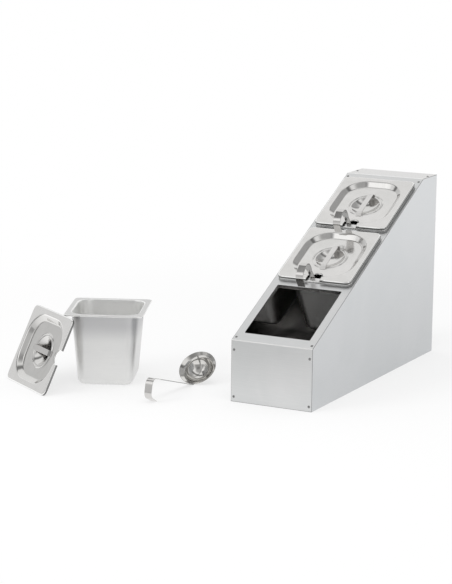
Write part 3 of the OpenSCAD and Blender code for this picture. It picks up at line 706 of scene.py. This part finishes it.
ladleFinish = {
    "bowl": steel("mirrorBowl", dark=(0.61, 0.60, 0.58), light=(0.70, 0.69, 0.67), rough=(0.05, 0.10),
                  stretch=(90, 90, 90), bump=0.002, wave=(26, 1.6)),
    "stem": steel("polishedStem", dark=(0.60, 0.59, 0.58), light=(0.67, 0.66, 0.65), rough=(0.08, 0.15),
                  stretch=(700, 40, 40), bump=0.003),
    # Painted shade: the loose ladle's shank is a darker copy of the stem's steel.
    "loosePaintedShadeShank": steel("paintedShadeShank", dark=(0.36, 0.36, 0.355), light=(0.44, 0.44, 0.435),
                        rough=(0.20, 0.30), stretch=(700, 40, 40), bump=0.003),
}


def hookPoints():
    # The hook's far top corner and the tip of its free leg, as (y, z) on the strip's middle line
    half, flare = ladle["sheet"] / 2, math.radians(ladle["legFlare"])
    cornerY = half - ladle["hookSpan"]
    cornerZ = ladle["length"] - half - ladle["hookDrop"]
    tipY = cornerY - ladle["hookLeg"] * math.sin(flare)
    tipZ = cornerZ - ladle["hookLeg"] * math.cos(flare)
    return (cornerY, cornerZ), (tipY, tipZ)


def ladlePlaces():
    # A hung ladle touches the pan's floor with its bowl and leans on the bend at the pan's mouth.
    # The free one lies on its bowl and on the tip of its hook.
    tilt, lean = math.radians(ladle["tilt"]), math.radians(ladle["lean"])
    radius = ladle["bowlDiameter"] / 2
    rimY, rimZ = radius * math.cos(tilt), -radius * math.sin(tilt)
    drop = ladle["bowlDepth"] - cupSphere
    middleY, middleZ = rimY - drop * math.sin(tilt), rimZ - drop * math.cos(tilt)
    height = panFloor + pan["seatGap"] + cupSphere - (middleY * math.sin(lean) + middleZ * math.cos(lean))
    bend = pan["mouthBend"] + pan["sheet"]
    reach = pan["flange"] - pan["mouthBend"]
    reach += (bend * (1 - math.sin(lean)) + ladle["stemGap"] + ladle["sheet"]) / math.cos(lean)
    reach += (panTop - height) * math.tan(lean)
    hung = shiftBy(ladle["offset"], reach - pan["length"] / 2, height) @ turnAbout("X", ladle["lean"])
    tipY, tipZ = hookPoints()[1]
    acrossY, acrossZ = middleY - tipY + ladle["sheet"] / 2, middleZ - tipZ
    pitch = math.asin(cupSphere / math.hypot(acrossY, acrossZ)) - math.atan2(acrossZ, acrossY)
    lying = cupSphere - middleY * math.sin(pitch) - middleZ * math.cos(pitch)
    free = shiftBy(ladle["looseX"], ladle["looseY"], lying) @ turnAbout("X", math.degrees(pitch))
    return {"middle": inBay(1) @ hung, "rear": inBay(2) @ hung, "loose": free}


def bowlShape():
    # A spherical cup and a conical rim revolved as one closed section, with its lip rounded
    rim, sheet, lipShare = ladle["bowlDiameter"] / 2, ladle["bowlSheet"], ladle["lipShare"]
    outerArc, outerShare = ladle["outerCrease"]
    innerArc, innerShare = ladle["innerCrease"]
    centre = (0, cupSphere - ladle["bowlDepth"])
    join = math.degrees(math.atan2(-ladle["flareDepth"] - centre[1], cupRadius))
    slope = np.array([ladle["flareWidth"], ladle["flareDepth"]])
    inward = np.array([-slope[1], slope[0]]) / np.linalg.norm(slope)
    junction, lip = np.array([cupRadius, -ladle["flareDepth"]]), np.array([rim, 0.0])
    lipCentre = lip + 0.5 * sheet * inward - 0.5 * sheet * slope / np.linalg.norm(slope)
    way = math.degrees(math.atan2(-inward[1], -inward[0]))
    profile = np.concatenate([
        arcPoints(centre, cupSphere, -90, join - outerArc, count=22),
        np.linspace(junction + outerShare * slope, lip - lipShare * slope, num=5),
        arcPoints(lipCentre, 0.5 * sheet, way, way + 180, count=7),
        np.linspace(lip - lipShare * slope, junction + innerShare * slope, num=5) + sheet * inward,
        arcPoints(centre, cupSphere - sheet, join - innerArc, -90, count=24)])
    profile[[0, -1], 0] = 0
    grid, faces = revolve(profile, columns=72)
    tilt = math.radians(ladle["tilt"])
    stand = shiftBy(0, rim * math.cos(tilt), -rim * math.sin(tilt)) @ turnAbout("X", -ladle["tilt"])
    return carried(grid, stand), faces


def stemShape():
    # The strip: a short foot under the rim, the long stem, the round top of the hook and its flared free
    # leg. It widens between two heights to the hook's width, and below them it is the shank, zone 1.
    half, tilt, clear = ladle["sheet"] / 2, math.radians(ladle["tilt"]), ladle["clearance"]
    flareLine = np.array([ladle["flareWidth"] * math.cos(tilt) - ladle["flareDepth"] * math.sin(tilt),
                          -ladle["flareWidth"] * math.sin(tilt) - ladle["flareDepth"] * math.cos(tilt)])
    outward = np.array([flareLine[1], -flareLine[0]]) / np.linalg.norm(flareLine)
    foot = ladle["footShare"] * flareLine + (half + clear) * outward
    low = bentPath([foot, (-half - clear, ladle["footHeight"]), (-half - clear, ladle["clearEnd"])],
                   ladle["footBend"], steps=6)
    high = bentPath([(-half, ladle["straightStart"]), (-half, ladle["length"] - half), *hookPoints()],
                    ladle["hookBend"], steps=20)
    path = refine(np.concatenate([low[:-1], high]), ladle["step"])
    run = lengthsAlong(path)
    run -= run[np.argmin(np.abs(path[:, 1]))]
    share = np.clip((run - ladle["taperStart"]) / (ladle["taperEnd"] - ladle["taperStart"]), 0, 1)
    widths = ladle["stemWidth"] + (ladle["hookWidth"] - ladle["stemWidth"]) * share * share * (3 - 2 * share)
    grid, faces = stripAlong(path, widths, ladle["sheet"])
    zones = [int(run[face[0] // grid.shape[1]] < ladle["taperStart"]) for face in faces]
    return grid, faces, zones


bowlForm = bowlShape()
stemForm = stemShape()
for which, place in ladlePlaces().items():
    makePiece(which + "LadleBowl", bowlForm, place, [ladleFinish["bowl"]], which + "_ladle_body",
              which + "_bowl")
    # Only the loose ladle's shank takes the painted shade.
    shank = ladleFinish["loosePaintedShadeShank" if which == "loose" else "stem"]
    makePiece(which + "LadleStrip", stemForm, place, [ladleFinish["stem"], shank], which + "_ladle_body",
              which + "_stem")
print("ladles ready")


# Studio, in metres and degrees, with the camera's place and lens in millimetres. The floor's stops are
# (position in the span, level), a patch is (direction, cosine where it starts, cosine where it is full,
# depth), a seam is (axis, middle, inner half width, outer half width, depth) and a lamp is (place, target,
# size, power).

studio = {"cameraPlace": (1767.6, -3913.9, 1040.0), "yaw": 27.399, "pitch": 11.434, "roll": 0.625,
          "lens": 130.46, "floorHalf": 9, "shadowReach": (0.6, 1.6), "shadowShare": 0.35, "worldLight": 0.85,
          "toneSpan": (-1, 2.5),
          "floorTone": [(0.05, 0.76), (0.12, 0.93), (0.18, 1.25), (0.24, 1.05), (0.6, 0.98), (0.9, 1.1)],
          "sideSpan": (0.3, 0.8), "sideTone": 1.2,
          "patches": [((0.60, 0.35, 0.72), 0.80, 0.97, 0.56), ((-0.62, -0.78, 0.05), 0.80, 0.98, 0.35),
                      ((0.30, -0.95, 0.10), 0.80, 0.98, 0.60), ((0.10, -0.78, 0.62), 0.88, 0.98, 0.50),
                      ((-0.50, -0.74, 0.44), 0.93, 0.995, -0.45), ((-0.98, 0.10, 0.10), 0.86, 0.97, 0.28),
                      ((-0.38, 0.91, 0.14), 0.93, 0.99, 0.22)],
          "seams": [((0, 1, 0), -0.17, 0.05, 0.19, 0.75), ((0.94, -0.34, 0), 0.02, 0.03, 0.14, 0.42)],
          "lamps": {"keyPanel": ((-1.9, -3.0, 2.2), (-0.1, -0.1, 0.2), (1.6, 1.2), 34),
                    "topPanel": ((0.5, -0.9, 3.0), (-0.1, 0, 0.1), (1.6, 1.6), 16)}}
white = (1, 1, 1, 1)


def addCamera():
    # It looks along the yaw and pitch, and is turned about that line by the roll
    yaw, pitch, roll = (math.radians(studio[k]) for k in ("yaw", "pitch", "roll"))
    look = Vector((-math.sin(yaw) * math.cos(pitch), math.cos(yaw) * math.cos(pitch), -math.sin(pitch)))
    right = look.cross(Vector((0, 0, 1))).normalized()
    up = right.cross(look)
    turnedRight = math.cos(roll) * right + math.sin(roll) * up
    turnedUp = math.cos(roll) * up - math.sin(roll) * right
    data = bpy.data.cameras.new("camera")
    data.sensor_fit = "VERTICAL"
    data.sensor_height = 36
    data.lens = studio["lens"]
    data.clip_end = 50
    camera = bpy.data.objects.new("camera", data)
    axes = Matrix((turnedRight, turnedUp, -look)).transposed().to_4x4()
    camera.matrix_world = Matrix.Translation(Vector(studio["cameraPlace"]) * metre) @ axes
    bpy.context.scene.collection.objects.link(camera)
    bpy.context.scene.camera = camera


def floorTone(tree, here, rays):
    # White for the camera. In reflections the tone follows y by the stops, and rises to the right with x.
    parts = addNode(tree, "SeparateXYZ", {0: here["Object"]}).outputs
    start, end = studio["toneSpan"]
    reach = addNode(tree, "MapRange", {"Value": parts["Y"], "From Min": start, "From Max": end})
    tone = addNode(tree, "ValToRGB", {"Fac": reach})
    stops = tone.color_ramp.elements
    for position, level in studio["floorTone"]:
        stops.new(position).color = (level, level, level, 1)
    for unused in (stops[-1], stops[0]):  # the two that the ramp came with
        stops.remove(unused)
    start, end = studio["sideSpan"]
    aside = addNode(tree, "MapRange", {"Value": parts["X"], "From Min": start, "From Max": end})
    feed(tree, aside, {"To Min": 1, "To Max": studio["sideTone"]})
    both = addNode(tree, "VectorMath", {0: tone, "Scale": aside}, operation="SCALE")
    return addNode(tree, "Mix", {"Factor": rays["Is Camera Ray"], "A": both, "B": white}, data_type="RGBA")


def addFloor():
    # The camera and reflections see a glow mixed with the matt floor. Its share is 1 - shadowShare near the
    # caddy, so that its shade shows there, and all of it further out. Other rays find only the matt floor.
    half = studio["floorHalf"]
    corners = [(-half, -half, 0), (half, -half, 0), (half, half, 0), (-half, half, 0)]
    mesh = bpy.data.meshes.new("floor")
    mesh.from_pydata(corners, [], [(0, 1, 2, 3)])
    floor = bpy.data.objects.new("floor", mesh)
    bpy.context.scene.collection.objects.link(floor)
    material = bpy.data.materials.new("paleFloor")
    material.use_nodes = True
    tree = material.node_tree
    tree.nodes.clear()
    here = addNode(tree, "TexCoord").outputs
    rays = addNode(tree, "LightPath").outputs
    matt = addNode(tree, "BsdfDiffuse", {"Color": (0.9, 0.9, 0.9, 1)})
    glow = addNode(tree, "Emission", {"Color": floorTone(tree, here, rays)})
    length = addNode(tree, "VectorMath", {0: here["Object"]}, operation="LENGTH")
    fade = eased(tree, length, *studio["shadowReach"], 1 - studio["shadowShare"], 1)
    seen = addNode(tree, "Math", {0: rays["Is Camera Ray"], 1: rays["Is Glossy Ray"]}, operation="MAXIMUM")
    share = addNode(tree, "Math", {0: seen, 1: fade}, operation="MULTIPLY")
    mix = addNode(tree, "MixShader", {"Fac": share, 1: matt, 2: glow})
    addNode(tree, "OutputMaterial", {"Surface": mix})
    mesh.materials.append(material)


def addWorld():
    # Rays from the camera see plain white. Reflections see a white studio with soft round patches in it,
    # each about its own direction, and with dark seams where the direction's share along an axis nears the
    # seam's middle. Other rays meet worldLight.
    world = bpy.data.worlds.new("studio")
    bpy.context.scene.world = world
    world.use_nodes = True
    tree = world.node_tree
    tree.nodes.clear()
    here = addNode(tree, "TexCoord").outputs
    levels = []
    for direction, far, near, depth in studio["patches"]:
        feeds = {0: here["Generated"], 1: Vector(direction).normalized()}
        dot = addNode(tree, "VectorMath", feeds, operation="DOT_PRODUCT")
        levels.append(eased(tree, dot, far, near, 1, 1 - depth))
    for axis, middle, inner, outer, depth in studio["seams"]:
        dot = addNode(tree, "VectorMath", {0: here["Generated"], 1: axis}, operation="DOT_PRODUCT")
        aside = addNode(tree, "Math", {0: dot, 1: middle}, operation="SUBTRACT")
        size = addNode(tree, "Math", {0: aside}, operation="ABSOLUTE")
        levels.append(eased(tree, size, inner, outer, 1 - depth, 1))
    shade = levels[0]
    for level in levels[1:]:
        shade = addNode(tree, "Math", {0: shade, 1: level}, operation="MULTIPLY")
    rays = addNode(tree, "LightPath").outputs
    soft = addNode(tree, "Background", {"Color": white, "Strength": studio["worldLight"]})
    room = addNode(tree, "Background", {"Color": white, "Strength": shade})
    plain = addNode(tree, "Background", {"Color": white})
    lit = addNode(tree, "MixShader", {"Fac": rays["Is Glossy Ray"], 1: soft, 2: room})
    direct = {0: rays["Is Camera Ray"], 1: rays["Is Transmission Ray"]}
    seen = addNode(tree, "Math", direct, operation="MAXIMUM")
    mix = addNode(tree, "MixShader", {"Fac": seen, 1: lit, 2: plain})
    addNode(tree, "OutputWorld", {"Surface": mix})


def addLamp(name, place, target, size, power):
    # A rectangular panel that faces its target and isn't seen in reflections
    data = bpy.data.lights.new(name, "AREA")
    data.shape = "RECTANGLE"
    data.size, data.size_y = size
    data.energy = power
    lamp = bpy.data.objects.new(name, data)
    lamp.location = place
    lamp.rotation_euler = (Vector(target) - Vector(place)).to_track_quat("-Z", "Y").to_euler()
    lamp.visible_glossy = False
    bpy.context.scene.collection.objects.link(lamp)


addCamera()
addFloor()
addWorld()
for lampName, values in studio["lamps"].items():
    addLamp(lampName, *values)
bpy.context.scene.view_settings.view_transform = "Standard"
print("studio ready")
